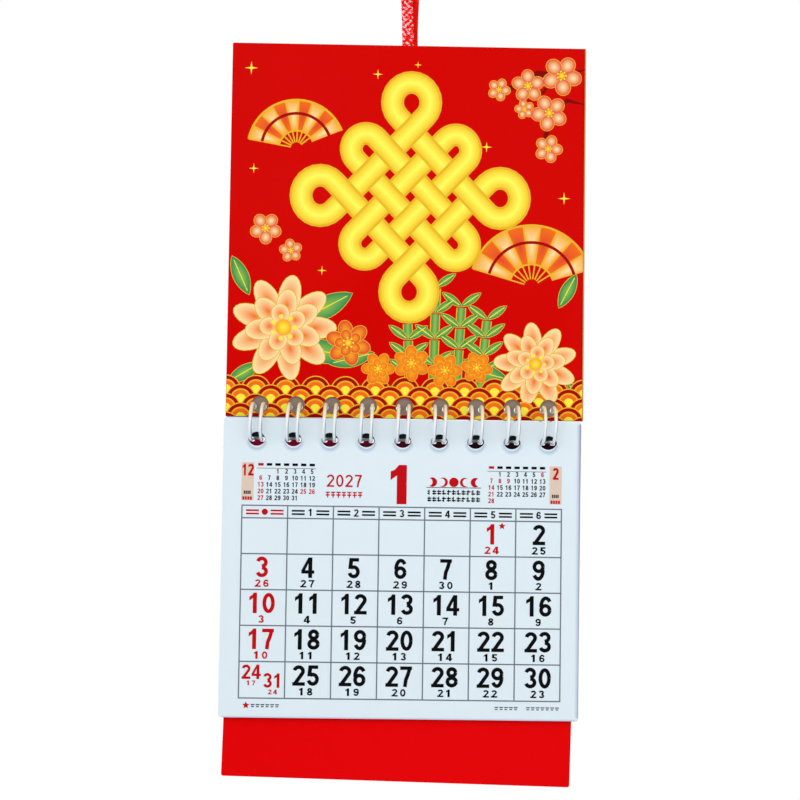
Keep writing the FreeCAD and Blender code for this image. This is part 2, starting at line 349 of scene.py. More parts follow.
# ---- Hanging cord: a flat braid of satin strands ----
cord = {"width": 2.8, "height": 1.6, "strands": 8, "period": 6.4, "strandWidth": 0.42, "strandFlat": 0.8,
        "step": 0.28, "sides": 6, "red": "#FF200C", "deep": "#F00C04", "paintedGlintHigh": "#FFEAF6", "paintedGlintLow": "#FFB0B8",
        "glintPitch": 0.95, "paintedGlintStrands": (0, 1, 3, 4, 6), "plainFrom": 0.4, "twistLevel": -46, "twistRun": 38,
        "filamentTurns": 2600.0, "filamentsAround": 56.0,
        "route": [(-1.75, -0.9, -81), (-1.05, -0.88, -70.5), (0.1, -0.85, -60), (-0.35, -0.7, -48),
                  (-1.2, -0.35, -33), (-2.75, 0, 2.55), (2.75, 0, 2.55), (1.6, 0.85, -33), (1.1, 1.3, -46),
                  (0.85, 1.4, -56), (1.4, 0.7, -61.7), (2.05, -0.88, -67.7), (2.25, -0.9, -74.7)]}
routeCurve = bpy.data.curves.new("cordRoute", "CURVE")
routeCurve.dimensions = "3D"
routeCurve.resolution_u = 24
spline = routeCurve.splines.new("NURBS")
spline.points.add(len(cord["route"]) - 1)
for point, place in zip(spline.points, cord["route"]):
    point.co = (*[value * mm for value in place], 1)
spline.order_u = 3
spline.use_endpoint_u = True
routeMesh = toMesh(bpy.data.objects.new("cordRoute", routeCurve), "cordRoute")
routePoints = [vertex.co.copy() for vertex in routeMesh.vertices]
bpy.data.meshes.remove(routeMesh)


# Points at equal steps along a line
def resample(points, step):
    made = [points[0].copy()]
    left = step
    for before, after in zip(points, points[1:]):
        run = (after - before).length
        at = 0.0
        while run - at >= left:
            at += left
            made.append(before.lerp(after, at / run))
            left = step
        left -= run - at
    made.append(points[-1].copy())
    return made


centreLine = resample(routePoints, cord["step"] * mm)
widthSides, heightSides = [], []
for number, point in enumerate(centreLine):
    ahead = (centreLine[min(number + 1, len(centreLine) - 1)] - centreLine[max(number - 1, 0)]).normalized()
    # The flat side faces the front below, and lies on the nail at the top
    twist = min(1.0, max(0.0, (point.z / mm - cord["twistLevel"]) / cord["twistRun"]))
    twist = twist * twist * (3 - 2 * twist) * math.pi / 2
    side = Vector((math.cos(twist), math.sin(twist), 0))
    side = (side - ahead * side.dot(ahead)).normalized()
    widthSides.append(side)
    heightSides.append(ahead.cross(side))
reachAcross = (cord["width"] / 2 - cord["strandWidth"]) * mm
reachOver = (cord["height"] / 2 - cord["strandWidth"] * cord["strandFlat"]) * mm
store = {"points": [], "faces": [], "uv": []}
strandFaces = []
for strand in range(cord["strands"]):
    line, widths = [], []
    for number, point in enumerate(centreLine):
        phase = number * cord["step"] / cord["period"] + strand / cord["strands"]
        across = -math.cos(math.tau * phase)
        over = math.sin(math.tau * (cord["strands"] - 1) * phase)
        line.append(point + widthSides[number] * (reachAcross * across) + heightSides[number] * (reachOver * over))
        widths.append(widthSides[number])
    before = len(store["faces"])
    tubeMesh(line, cord["strandWidth"] * mm, cord["sides"], widths, cord["strandFlat"], store)
    strandFaces.append((before, len(store["faces"])))


# Satin yarn: twisted filaments along the strand, from the strand's own UV map
def satinYarn(name, low, high, base=None, glintPitch=0.0):
    material, tree, shader = newMaterial(name)
    place = addNode(tree, "ShaderNodeUVMap", uv_map="strand")
    split = addNode(tree, "ShaderNodeSeparateXYZ", {"Vector": place.outputs["UV"]})
    turned = mathNode(tree, "MULTIPLY", split.outputs["Y"], cord["filamentTurns"])
    around = mathNode(tree, "MULTIPLY_ADD", split.outputs["X"], cord["filamentsAround"], turned)
    wave = mathNode(tree, "SINE", around)
    lift = mathNode(tree, "MULTIPLY_ADD", wave, 0.5, 0.5)
    tint = mixColours(tree, lift, low, high)
    if base:
        # Painted highlights along the strand, dots where the yarn would face the lamps
        along = mathNode(tree, "MULTIPLY", split.outputs["Y"], math.tau / (glintPitch * mm))
        beat = mathNode(tree, "SINE", along)
        share = mathNode(tree, "MULTIPLY_ADD", beat, 1.8, 0.75, clamp=True)
        tint = mixColours(tree, share, base, tint)
    tree.links.new(tint, shader.inputs["Base Color"])
    bump = addNode(tree, "ShaderNodeBump", {"Height": lift, "Strength": 0.7, "Distance": 0.03 * mm})
    tree.links.new(bump.outputs["Normal"], shader.inputs["Normal"])
    shader.inputs["Roughness"].default_value = 0.4
    shader.inputs["Specular IOR Level"].default_value = 0.04
    return material


# Red satin yarn, and strands with painted pale highlights between. The painted highlights show on the front run only,
# as photographed.
redYarn = satinYarn("redSatinYarn", colourOf(cord["deep"]), colourOf(cord["red"]))
paintedGlintYarn = satinYarn("satinYarnPaintedGlints", colourOf(cord["paintedGlintLow"]), colourOf(cord["paintedGlintHigh"]), colourOf(cord["red"]),
                     cord["glintPitch"])
braid = meshObject("hangingBraid", store["points"], store["faces"], redYarn)
braid.data.materials.append(paintedGlintYarn)
# The pale strands carry the painted highlights, on the front run only
for strand in cord["paintedGlintStrands"]:
    for face in range(*strandFaces[strand]):
        if braid.data.polygons[face].center.y / mm < cord["plainFrom"]:
            braid.data.polygons[face].material_index = 1
layer = braid.data.uv_layers.new(name="strand")
for loop in braid.data.loops:
    layer.data[loop.index].uv = store["uv"][loop.vertex_index]
shade(braid, 70)
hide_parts("hanging_cord")
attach(braid, "header")

# ---- Paper patch over the cord's ends ----
patch = {"front": -2.0, "top": -70.0, "bottom": -85.0, "half": 12.0, "corner": 1.2, "skin": 0.25, "rise": 2.2,
         "flatHalf": 4.2, "footHalf": 6.6, "across": 96, "down": 24, "paper": "#EEE9DE", "paperLow": "#E4DDCF"}
patchPoints, patchFaces = [], []
for side in (0, 1):
    for row in range(patch["down"] + 1):
        z = patch["top"] + (patch["bottom"] - patch["top"]) * row / patch["down"]
        depth = max(0.0, patch["corner"] - min(patch["top"] - z, z - patch["bottom"]))
        halfWidth = patch["half"] - patch["corner"] + math.sqrt(max(0.0, patch["corner"] ** 2 - depth ** 2))
        for column in range(patch["across"] + 1):
            x = halfWidth * (2 * column / patch["across"] - 1)
            share = min(1.0, max(0.0, (patch["footHalf"] - abs(x)) / (patch["footHalf"] - patch["flatHalf"])))
            lift = patch["rise"] * share * share * (3 - 2 * share)
            patchPoints.append((x * mm, (patch["front"] + lift + patch["skin"] * side) * mm, z * mm))
rowLength = patch["across"] + 1
sheetPoints = rowLength * (patch["down"] + 1)
for row in range(patch["down"]):
    for column in range(patch["across"]):
        a = row * rowLength + column
        patchFaces.append((a, a + 1, a + 1 + rowLength, a + rowLength))
        patchFaces.append(tuple(sheetPoints + index for index in (a, a + rowLength, a + 1 + rowLength, a + 1)))
border = ([column for column in range(rowLength)]
          + [row * rowLength + rowLength - 1 for row in range(1, patch["down"] + 1)]
          + [patch["down"] * rowLength + column for column in reversed(range(patch["across"]))]
          + [row * rowLength for row in reversed(range(1, patch["down"]))])
for a, b in zip(border, border[1:] + border[:1]):
    patchFaces.append((a, sheetPoints + a, sheetPoints + b, b))

# ---- Print: flat coloured shapes in layers just above a card's face ----
inkStep = 0.012


def newInk():
    return {"points": [], "faces": [], "tints": [], "shapes": 0}


# Shapes are drawn in millimetres to the right of and below a card's top left corner. Each
# lies a hair above the one before, so that overlapping shapes of a layer don't coincide.
def addShape(ink, points, faces, tints, layer):
    first = len(ink["points"])
    ink["shapes"] += 1
    layer += 0.015 * (ink["shapes"] % 31)
    ink["points"] += [(u, v, layer) for u, v in points]
    ink["tints"] += tints
    ink["faces"] += [[first + index for index in face] for face in faces]


# A filled outline, of one colour or shaded from its heart to its rim
def fill(ink, outline, colour, layer, heart=None):
    rim = colourOf(colour)
    count = len(outline)
    if heart is None:
        addShape(ink, outline, [range(count)], [rim] * count, layer)
        return
    middle = (sum(p[0] for p in outline) / count, sum(p[1] for p in outline) / count)
    addShape(ink, [*outline, middle], [(i, (i + 1) % count, count) for i in range(count)],
             [rim] * count + [colourOf(heart)], layer)


# A strip between two lines of as many points, shaded from the first to the second
def strip(ink, upper, lower, colour, foot, layer):
    count = len(upper)
    addShape(ink, [*upper, *lower], [(i, i + 1, count + i + 1, count + i) for i in range(count - 1)],
             [colourOf(colour)] * count + [colourOf(foot)] * count, layer)


# A line of some width, tapered towards its ends if asked
def stroke(ink, line, width, colour, layer, closed=False, taper=False, heart=None):
    count = len(line)
    leftSide, rightSide = [], []
    for number in range(count):
        before = line[number - 1] if closed or number else line[number]
        after = line[(number + 1) % count] if closed or number < count - 1 else line[number]
        du, dv = after[0] - before[0], after[1] - before[1]
        length = math.hypot(du, dv) or 1.0
        share = 1.0
        if taper:
            share = 0.12 + 0.88 * math.sin(math.pi * number / (count - 1)) ** 0.6
        nu, nv = -dv / length * width * share / 2, du / length * width * share / 2
        leftSide.append((line[number][0] + nu, line[number][1] + nv))
        rightSide.append((line[number][0] - nu, line[number][1] - nv))
    if closed:
        leftSide.append(leftSide[0])
        rightSide.append(rightSide[0])
    if heart is None:
        strip(ink, leftSide, rightSide, colour, colour, layer)
    else:
        # Lighter along its middle
        middle = [((a + c) / 2, (b + d) / 2) for (a, b), (c, d) in zip(leftSide, rightSide)]
        strip(ink, leftSide, middle, colour, heart, layer)
        strip(ink, middle, rightSide, heart, colour, layer)


def circle(u, v, radius, steps=28, tall=1.0, turn=0.0):
    line = []
    for step in range(steps):
        angle = math.tau * step / steps
        a, b = radius * math.cos(angle), radius * tall * math.sin(angle)
        line.append((u + a * math.cos(turn) - b * math.sin(turn), v + a * math.sin(turn) + b * math.cos(turn)))
    return line


def bar(u, v, width, height):
    return [(u, v), (u + width, v), (u + width, v + height), (u, v + height)]


# Points on an arc, from angle to angle, with 90 degrees pointing down the card
def arc(u, v, radius, tall, first, last, steps=14):
    turns = [math.radians(first + (last - first) * step / steps) for step in range(steps + 1)]
    return [(u + radius * math.cos(turn), v + tall * math.sin(turn)) for turn in turns]


# One grotesque digit, a height tall, as strokes and blocks inside its own width
def digitShapes(char, heavy):
    h, m = heavy / 2, 0.3
    side = m - h
    lines, blocks = [], []
    if char == "0":
        lines.append(arc(m, 0.5, side, 0.5 - h, 0, 360, 28))
    elif char == "1":
        blocks.append([(0.42 - heavy * 0.8, 0), (0.42, 0), (0.42, 1), (0.42 - heavy, 1), (0.42 - heavy, 0.27),
                       (0.06, 0.39), (0.06, 0.39 - heavy), (0.42 - heavy * 1.2, 0.12)])
    elif char == "2":
        lines.append(arc(m, 0.29, side, 0.29 - h, 190, 395) + [(h * 1.3, 1 - h)])
        blocks.append(bar(0, 1 - heavy * 0.9, 0.6, heavy * 0.9))
    elif char == "3":
        lines.append(arc(m - 0.02, 0.265, side - 0.01, 0.265 - h + 0.02, 195, 450))
        lines.append(arc(m - 0.01, 0.715, side, 0.285 - h, -90, 165))
    elif char == "4":
        blocks += [bar(0.52 - heavy, 0, heavy, 1), bar(0, 0.63, 0.62, heavy * 0.85),
                   [(0.52 - heavy, 0), (0.52 - heavy, 0.2 + heavy * 0.5), (heavy * 0.95, 0.63), (0, 0.63)]]
    elif char == "5":
        blocks += [bar(0.08, 0, 0.46, heavy * 0.9), [(0.08, 0), (0.08 + heavy, 0), (0.03 + heavy, 0.54), (0.03, 0.54)]]
        lines.append(arc(m - 0.01, 0.675, side, 0.325 - h, -128, 165, 20))
    elif char == "6":
        lines.append(arc(m, 0.685, side, 0.315 - h, 0, 360, 24))
        lines.append(arc(m + 0.02, 0.5, side + 0.02, 0.5 - h, 175, 325))
    elif char == "7":
        blocks.append(bar(0.02, 0, 0.56, heavy * 0.9))
        lines.append([(0.58 - h * 1.2, heavy * 0.5), (0.4, 0.36), (0.29, 0.66), (0.25, 1)])
    elif char == "8":
        lines.append(arc(m, 0.27, side - 0.03, 0.27 - h, 0, 360, 24))
        lines.append(arc(m, 0.72, side, 0.28 - h, 0, 360, 24))
    elif char == "9":
        lines.append(arc(m, 0.315, side, 0.315 - h, 0, 360, 24))
        lines.append(arc(m - 0.02, 0.5, side + 0.02, 0.5 - h, -5, 145))
    return lines, blocks


# Writes digits about a middle point. Narrow is the width as a share of the usual.
def write(ink, text, u, v, height, colour, layer, heavy=0.19, narrow=1.0, gap=0.08):
    step = (0.6 + gap) * height * narrow
    left = u - (len(text) * step - gap * height * narrow) / 2
    for place, char in enumerate(text):
        start = left + place * step
        lines, blocks = digitShapes(char, heavy)
        for block in blocks:
            fill(ink, [(start + a * height * narrow, v + (b - 0.5) * height) for a, b in block], colour, layer)
        for number, line in enumerate(lines):
            stroke(ink, [(start + a * height * narrow, v + (b - 0.5) * height) for a, b in line], heavy * height * 0.96,
                   colour, layer + 0.5 + 0.5 * number)


# Makes the print a mesh on its card, trimmed to the card's outline and round its holes
def makePrint(name, ink, left, top, front, material, trim=None, holes=(), holeRadius=0.0):
    points = [((left + u) * mm, (front - inkStep * (layer + 1)) * mm, (top - v) * mm)
              for u, v, layer in ink["points"]]
    made = meshObject(name, points, ink["faces"], material)
    tints = made.data.color_attributes.new("ink", "FLOAT_COLOR", "POINT")
    tints.data.foreach_set("color", [value for tint in ink["tints"] for value in tint])
    work = bmesh.new()
    work.from_mesh(made.data)
    for face in work.faces:
        if face.normal.y > 0:
            face.normal_flip()
    if trim:
        low, bottom, high, upper = [value * mm for value in trim]
        for place, normal in (((low, 0, 0), (-1, 0, 0)), ((high, 0, 0), (1, 0, 0)),
                              ((0, 0, bottom), (0, 0, -1)), ((0, 0, upper), (0, 0, 1))):
            bmesh.ops.bisect_plane(work, geom=work.verts[:] + work.edges[:] + work.faces[:], dist=1e-8,
                                   plane_co=place, plane_no=normal, clear_outer=True)
    for holeX, holeZ in holes:
        near = []
        reach = holeRadius * 1.1
        for face in work.faces:
            xs = [vertex.co.x / mm - holeX for vertex in face.verts]
            zs = [vertex.co.z / mm - holeZ for vertex in face.verts]
            if min(xs) < reach and max(xs) > -reach and min(zs) < reach and max(zs) > -reach:
                near.append(face)
        geometry = list({item for face in near for item in (*face.verts, *face.edges, face)})
        for step in range(24):
            turn = math.tau * step / 24
            normal = Vector((math.cos(turn), 0, math.sin(turn)))
            place = Vector((holeX, 0, holeZ)) + normal * holeRadius
            cut = bmesh.ops.bisect_plane(work, geom=geometry, dist=1e-8, plane_co=place * mm, plane_no=normal)
            geometry = [item for item in cut["geom"] if item.is_valid]
        gone = []
        for face in [item for item in geometry if isinstance(item, bmesh.types.BMFace)]:
            centre = face.calc_center_median()
            if math.hypot(centre.x / mm - holeX, centre.z / mm - holeZ) < holeRadius:
                gone.append(face)
        bmesh.ops.delete(work, geom=gone, context="FACES")
    work.to_mesh(made.data)
    work.free()
    return made


# Printing ink in its own tints
def inkMaterial(name, roughness, gloss):
    material, tree, shader = newMaterial(name)
    tints = addNode(tree, "ShaderNodeVertexColor", layer_name="ink")
    place = addNode(tree, "ShaderNodeTexCoord")
    grain = addNode(tree, "ShaderNodeTexNoise", {"Vector": place.outputs["Object"], "Scale": 4000.0, "Detail": 2.0})
    share = mathNode(tree, "MULTIPLY_ADD", grain.outputs["Fac"], 0.10, 0.95)
    tone = addNode(tree, "ShaderNodeVectorMath", {0: tints.outputs["Color"]}, operation="SCALE")
    tree.links.new(share.outputs[0], tone.inputs["Scale"])
    tree.links.new(tone.outputs[0], shader.inputs["Base Color"])
    shader.inputs["Roughness"].default_value = roughness
    shader.inputs["Specular IOR Level"].default_value = gloss
    return material


# Card and paper stock
def stockMaterial(name, low, high, roughness, gloss=0.3, mottle=6.0, fibre=0.08, depth=0.004):
    material, tree, shader = newMaterial(name)
    tint, _ = addGrain(tree, shader, colourOf(low), colourOf(high), mottle, fibre, depth)
    tree.links.new(tint, shader.inputs["Base Color"])
    shader.inputs["Roughness"].default_value = roughness
    shader.inputs["Specular IOR Level"].default_value = gloss
    return material


# Gummed paper of the patch
gummed = stockMaterial("gummedPaper", patch["paperLow"], patch["paper"], 0.8, mottle=3.0, fibre=0.4, depth=0.02)
patchPiece = meshObject("gummedPatch", patchPoints, patchFaces, gummed)
work = bmesh.new()
work.from_mesh(patchPiece.data)
bmesh.ops.recalc_face_normals(work, faces=work.faces)
work.to_mesh(patchPiece.data)
work.free()
shade(patchPiece, 50)
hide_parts("cord_patch")
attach(patchPiece, "header")
print("patch made")

holeColumns = [(number - (wire["loops"] - 1) / 2) * wire["pitch"] for number in range(wire["loops"])]

# ---- Month sheets ----
pages = {"left": -41.6, "width": 82.85, "top": 0.9, "height": 69.0, "front": -0.6, "corner": 0.7, "sheet": 0.085,
         "spacing": 0.1, "count": 11, "holeLevel": -4.4, "holeRadius": 2.0, "sideways": 0.34, "first": 0.14,
         "turn": 0.0052, "lean": 0.0008, "seed": 7, "paper": "#DDEAF2", "paperLow": "#D8E6EF",
         "line": "#69717A", "black": "#08080A", "red": "#BD0C14", "box": "#DCC6B6",
         "paintedWellLight": "#EAF2F9", "paintedWellShade": "#A9BDD2", "paintedPressShade": "#BCD0E2",
         "curlShade": "#B4C3DA", "curlShadeRim": "#7F8AA3", "wellDrop": 0.85, "wellRadius": 2.12, "pressedRadius": 2.75}
# Coated white paper, a little blue
paper = stockMaterial("coatedPaper", pages["paperLow"], pages["paper"], 0.55)
# The cut edges of the sheets, in a painted grey shade where they lie against each other
shadedPaperEdge = stockMaterial("cutPaperEdgePaintedShade", "#A0A4B8", "#BFC3D2", 0.8, 0.05, mottle=0.15)
# The sheets below the top one, a little greyer: painted shade on their front faces
shadedLowerPaper = stockMaterial("lowerSheetsPaintedShade", "#8F94AE", "#9BA0B8", 0.8, 0.05)
pageHoles = [ovalHole(column, pages["holeLevel"], pages["holeRadius"]) for column in holeColumns]
pageOutline = roundedRectangle(pages["left"], pages["top"] - pages["height"], pages["left"] + pages["width"],
                               pages["top"], pages["corner"])
leaf = cutCard("monthSheets", pageOutline, pageHoles, 0, pages["sheet"], 0)
faceMaterials(leaf, paper, paper, shadedPaperEdge)

# Repeats the sheet to the back, each a little off to the side and turned by its own amount
group = bpy.data.node_groups.new("sheetStack", "GeometryNodeTree")
group.interface.new_socket("Geometry", in_out="INPUT", socket_type="NodeSocketGeometry")
sockets = {}
for label, kind, value in (("Sheets", "Int", pages["count"]), ("Spacing", "Float", pages["spacing"] * mm),
                           ("First shift", "Float", pages["first"] * mm),
                           ("Sideways", "Float", pages["sideways"] * mm), ("Turn", "Float", pages["turn"]),
                           ("Lean", "Float", pages["lean"]), ("Seed", "Int", pages["seed"]),
                           ("Paper", "Material", paper), ("Lower paper", "Material", shadedLowerPaper),
                           ("Cut edge", "Material", shadedPaperEdge)):
    socket = group.interface.new_socket(label, in_out="INPUT", socket_type="NodeSocket" + kind)
    sockets[socket.identifier] = value
group.interface.new_socket("Geometry", in_out="OUTPUT", socket_type="NodeSocketGeometry")
given = addNode(group, "NodeGroupInput")
step = addNode(group, "ShaderNodeCombineXYZ", {"Y": given.outputs["Spacing"]})
row = addNode(group, "GeometryNodeMeshLine", {"Count": given.outputs["Sheets"], "Offset": step})
copies = addNode(group, "GeometryNodeInstanceOnPoints", {"Points": row,
                                                         "Instance": given.outputs["Geometry"]})
index = addNode(group, "GeometryNodeInputIndex")
behind = mathNode(group, "MINIMUM", index, 1.0)
away = addNode(group, "FunctionNodeRandomValue", {2: given.outputs["First shift"], 3: given.outputs["Sideways"],
                                                  "ID": index, "Seed": given.outputs["Seed"]})
shift = mathNode(group, "MULTIPLY", away.outputs[1], behind)
shiftVector = addNode(group, "ShaderNodeCombineXYZ", {"X": shift})
moved = addNode(group, "GeometryNodeTranslateInstances", {"Instances": copies,
                                                          "Translation": shiftVector})
wander = addNode(group, "FunctionNodeRandomValue", {2: 0.0, 3: given.outputs["Turn"], "ID": index,
                                                    "Seed": given.outputs["Seed"]})
turned = mathNode(group, "MULTIPLY", wander.outputs[1], behind)
opened = mathNode(group, "MULTIPLY", index, given.outputs["Lean"])
angles = addNode(group, "ShaderNodeCombineXYZ", {"X": opened, "Y": turned})
turnedCopies = addNode(group, "GeometryNodeRotateInstances", {
    "Instances": moved, "Rotation": angles, "Pivot Point": (0, 0, 0), "Local Space": False})
whole = addNode(group, "GeometryNodeRealizeInstances", {"Geometry": turnedCopies})
facing = addNode(group, "GeometryNodeInputNormal")
facingParts = addNode(group, "ShaderNodeSeparateXYZ", {"Vector": facing})
flatness = mathNode(group, "ABSOLUTE", facingParts.outputs["Y"])
isEdge = addNode(group, "FunctionNodeCompare", {0: flatness, 1: 0.7}, data_type="FLOAT",
                 operation="LESS_THAN")
allPaper = addNode(group, "GeometryNodeSetMaterial", {"Geometry": whole, "Material": given.outputs["Paper"]})
spot = addNode(group, "GeometryNodeInputPosition")
spotParts = addNode(group, "ShaderNodeSeparateXYZ", {"Vector": spot})
halfStep = mathNode(group, "MULTIPLY", given.outputs["Spacing"], 0.95)
# Front faces of the sheets behind the first take the painted shade of the lower paper
isLower = addNode(group, "FunctionNodeCompare", {0: spotParts.outputs["Y"], 1: halfStep}, data_type="FLOAT",
                  operation="GREATER_THAN")
isFront = addNode(group, "FunctionNodeCompare", {0: facingParts.outputs["Y"], 1: -0.7}, data_type="FLOAT",
                  operation="LESS_THAN")
lowerFront = addNode(group, "FunctionNodeBooleanMath", {0: isLower, 1: isFront}, operation="AND")
lowered = addNode(group, "GeometryNodeSetMaterial", {
    "Geometry": allPaper, "Selection": lowerFront, "Material": given.outputs["Lower paper"]})
edged = addNode(group, "GeometryNodeSetMaterial", {"Geometry": lowered, "Selection": isEdge,
                                                   "Material": given.outputs["Cut edge"]})
addNode(group, "NodeGroupOutput", {"Geometry": edged})
stack = leaf.modifiers.new("sheetStack", "NODES")
stack.node_group = group
for identifier, value in sockets.items():
    stack[identifier] = value
graph = bpy.context.evaluated_depsgraph_get()
stackMesh = bpy.data.meshes.new_from_object(leaf.evaluated_get(graph))
leaf.modifiers.remove(stack)
leaf.data = stackMesh
stackMesh.name = "monthSheets"
leaf.data.transform(Matrix.Translation((0, pages["front"] * mm, 0)))
shade(leaf, 40, True)
moveToRing(leaf)
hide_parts("month_pages")
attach(leaf, "pages")

# Dark sheet of painted shade at the back of the pad, along its head, seen through the holes, with openings close round
# the wire
holeShade = {"bottom": -7.2, "front": 0.5, "thickness": 0.09, "inset": 0.2, "corner": 0.3, "dark": "#241016",
        "darkLow": "#1A0B10", "shadedRed": "#8E0C30", "green": "#142620", "redTo": -38.0, "darkFrom": 14.0,
        "greenFrom": -3.9, "greenTo": -4.4,
        "opening": [(-1.78, -4.35), (-1.55, -4.66), (-0.85, -4.66), (-0.64, -4.48), (-0.5, -4.12), (0.5, -4.12),
                    (0.64, -4.48), (0.85, -4.66), (1.55, -4.66), (1.78, -4.35), (1.78, -3.9), (1.5, -3.6),
                    (-1.5, -3.6), (-1.78, -3.9)]}
holeShadeOutline = roundedRectangle(pages["left"] + holeShade["inset"], holeShade["bottom"], pages["left"] + pages["width"],
                               pages["top"], holeShade["corner"])
holeShadeOpenings = [[(column + x, z) for x, z in holeShade["opening"]] for column in holeColumns]
holeShadeSheet = cutCard("holeShadeSheet", holeShadeOutline, holeShadeOpenings, holeShade["front"], holeShade["thickness"], 0)
# Painted shade that goes from a shaded red at the left to nearly black at the right, and dark green in its upper part
holeShadeFront, tree, shader = newMaterial("holeShadePainted")
dark, spread = addGrain(tree, shader, colourOf(holeShade["darkLow"]), colourOf(holeShade["dark"]), 3.0, 0.1, 0.004)
spreadParts = addNode(tree, "ShaderNodeSeparateXYZ", {"Vector": spread})
across = addNode(tree, "ShaderNodeMapRange", {"Value": spreadParts.outputs["X"], "From Min": holeShade["redTo"],
                                              "From Max": holeShade["darkFrom"]})
lower = addNode(tree, "ShaderNodeMapRange", {"Value": spreadParts.outputs["Z"], "From Min": ring.z + holeShade["greenFrom"],
                                             "From Max": ring.z + holeShade["greenTo"]})
redness = mixColours(tree, across, colourOf(holeShade["shadedRed"]), dark)
tree.links.new(mixColours(tree, lower, colourOf(holeShade["green"]), redness), shader.inputs["Base Color"])
shader.inputs["Roughness"].default_value = 0.8
shader.inputs["Specular IOR Level"].default_value = 0.02
# Painted dark shade on the sheet's back and edges
holeShadeBack = stockMaterial("holeShadeBackPainted", holeShade["darkLow"], holeShade["dark"], 0.8, 0.02)
faceMaterials(holeShadeSheet, holeShadeFront, holeShadeBack, holeShadeBack)
shade(holeShadeSheet, 40, True)
moveToRing(holeShadeSheet)
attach(holeShadeSheet, "pages")
print("sheets made")

# Print of the top sheet, measured from its top left corner
ink = newInk()
grid = {"left": 4.6, "pitch": 10.58, "rows": [20.43, 23.33, 31.57, 39.81, 48.05, 56.3, 64.65], "line": 0.29,
        "number": 4.7, "numberDrop": 3.07, "heavy": 0.19, "narrow": 1.03, "small": 1.72, "smallDrop": 6.76,
        "nudge": (-0.37, -0.44, -0.33, -0.16, -0.2, -0.26, 0.12), "weekLevel": 21.9, "disc": 0.72,
        "weekNumber": 1.7, "ruleLevels": (21.38, 22.14), "ruleReach": 2.85, "ruleLong": 3.0, "ruleTall": 0.4}
for level in grid["rows"]:
    fill(ink, bar(grid["left"] - grid["line"] / 2, level - grid["line"] / 2, 7 * grid["pitch"] + grid["line"],
                  grid["line"]), pages["line"], 0)
for column in range(8):
    fill(ink, bar(grid["left"] + column * grid["pitch"] - grid["line"] / 2, grid["rows"][0], grid["line"],
                  grid["rows"][-1] - grid["rows"][0]), pages["line"], 0.5)
for column in range(7):
    middle = grid["left"] + (column + 0.5) * grid["pitch"]
    tone = pages["red"] if column == 0 else pages["black"]
    # Weekdays: a disc for the first, and for the others their number, between heavy rules
    if column == 0:
        fill(ink, circle(middle, grid["weekLevel"], grid["disc"], 24), tone, 1)
    else:
        write(ink, str(column), middle, grid["weekLevel"], grid["weekNumber"], tone, 1, 0.2, 1.1)
    for side in (-1, 1):
        for level in grid["ruleLevels"]:
            fill(ink, bar(middle + side * grid["ruleReach"] - grid["ruleLong"] / 2, level, grid["ruleLong"],
                          grid["ruleTall"]), tone, 1)


# The moon's day for a date of this month
def moonDay(date):
    return date + 23 if date < 8 else date - 7


def writeDate(date, u, top, size, red, drop, small, smallDrop):
    tone = pages["red"] if red else pages["black"]
    write(ink, str(date), u, top + drop, size, tone, 1, grid["heavy"], grid["narrow"])
    write(ink, str(moonDay(date)), u, top + smallDrop, small, tone, 1, 0.22, 1.38, 0.2)


for date in range(1, 31):
    cell = date + 4
    column, row = cell % 7, cell // 7
    middle = grid["left"] + (column + 0.5) * grid["pitch"] + grid["nudge"][column]
    top = grid["rows"][1 + row]
    if date == 24:
        writeDate(24, middle - 2.1, top, 3.3, True, 2.35, 1.1, 4.9)
        writeDate(31, middle + 2.9, top, 3.3, True, 4.3, 1.1, 6.9)
    else:
        writeDate(date, middle, top, grid["number"], column == 0 or date == 1, grid["numberDrop"], grid["small"],
                  grid["smallDrop"])


def star(u, v, radius):
    return [(u + radius * (1 if i % 2 == 0 else 0.5) * math.sin(math.tau * i / 10),
             v - radius * (1 if i % 2 == 0 else 0.5) * math.cos(math.tau * i / 10)) for i in range(10)]


fill(ink, star(64.9, 24.5, 0.82), pages["red"], 1)
fill(ink, star(6.35, 66.3, 0.85), pages["red"], 1)
# Rows of short bars in place of the small texts at the foot
footMarks = {"level": 66.0, "pitch": 1.12, "rows": ((7.5, 6, "#3A3E46"), (63.6, 5, "#565C66"), (70.9, 7, "#565C66"))}
for first, count, tone in footMarks["rows"]:
    for number in range(count):
        u = first + number * footMarks["pitch"]
        fill(ink, bar(u, footMarks["level"], 0.86, 0.26), tone, 1)
        fill(ink, bar(u + 0.1, footMarks["level"] + 0.45, 0.6, 0.26), tone, 1)

# Heading: year, month number, moon phases, and bars in place of the small texts
heading = {"year": (28.2, 14.5, 2.85), "month": (41.4, 15.18, 9.1), "moonLeft": 48.6, "moonPitch": 2.5,
           "moonLevel": 14.5, "moon": 1.1, "shadow": 0.88, "shadowShift": 0.42, "yearMarks": (23.9, 17.05),
           "yearPitch": 1.25, "yearCount": 7, "rule": (47.2, 15.66, 12.7, 0.17), "ruleTone": "#4A4F57",
           "textLeft": 47.5, "textPitch": 1.13, "textCount": 11, "textLevels": (16.65, 18.25)}
write(ink, "2027", *heading["year"], pages["red"], 1, 0.15, 1.02, 0.14)
for number in range(heading["yearCount"]):
    u, v = heading["yearMarks"][0] + number * heading["yearPitch"], heading["yearMarks"][1]
    fill(ink, bar(u, v, 0.95, 0.3), pages["red"], 1)
    fill(ink, bar(u, v + 0.6, 0.95, 0.3), pages["red"], 1)
    fill(ink, bar(u + 0.35, v, 0.25, 1.35), pages["red"], 1.5)
write(ink, "1", *heading["month"], pages["red"], 1, 0.22, 1.15)
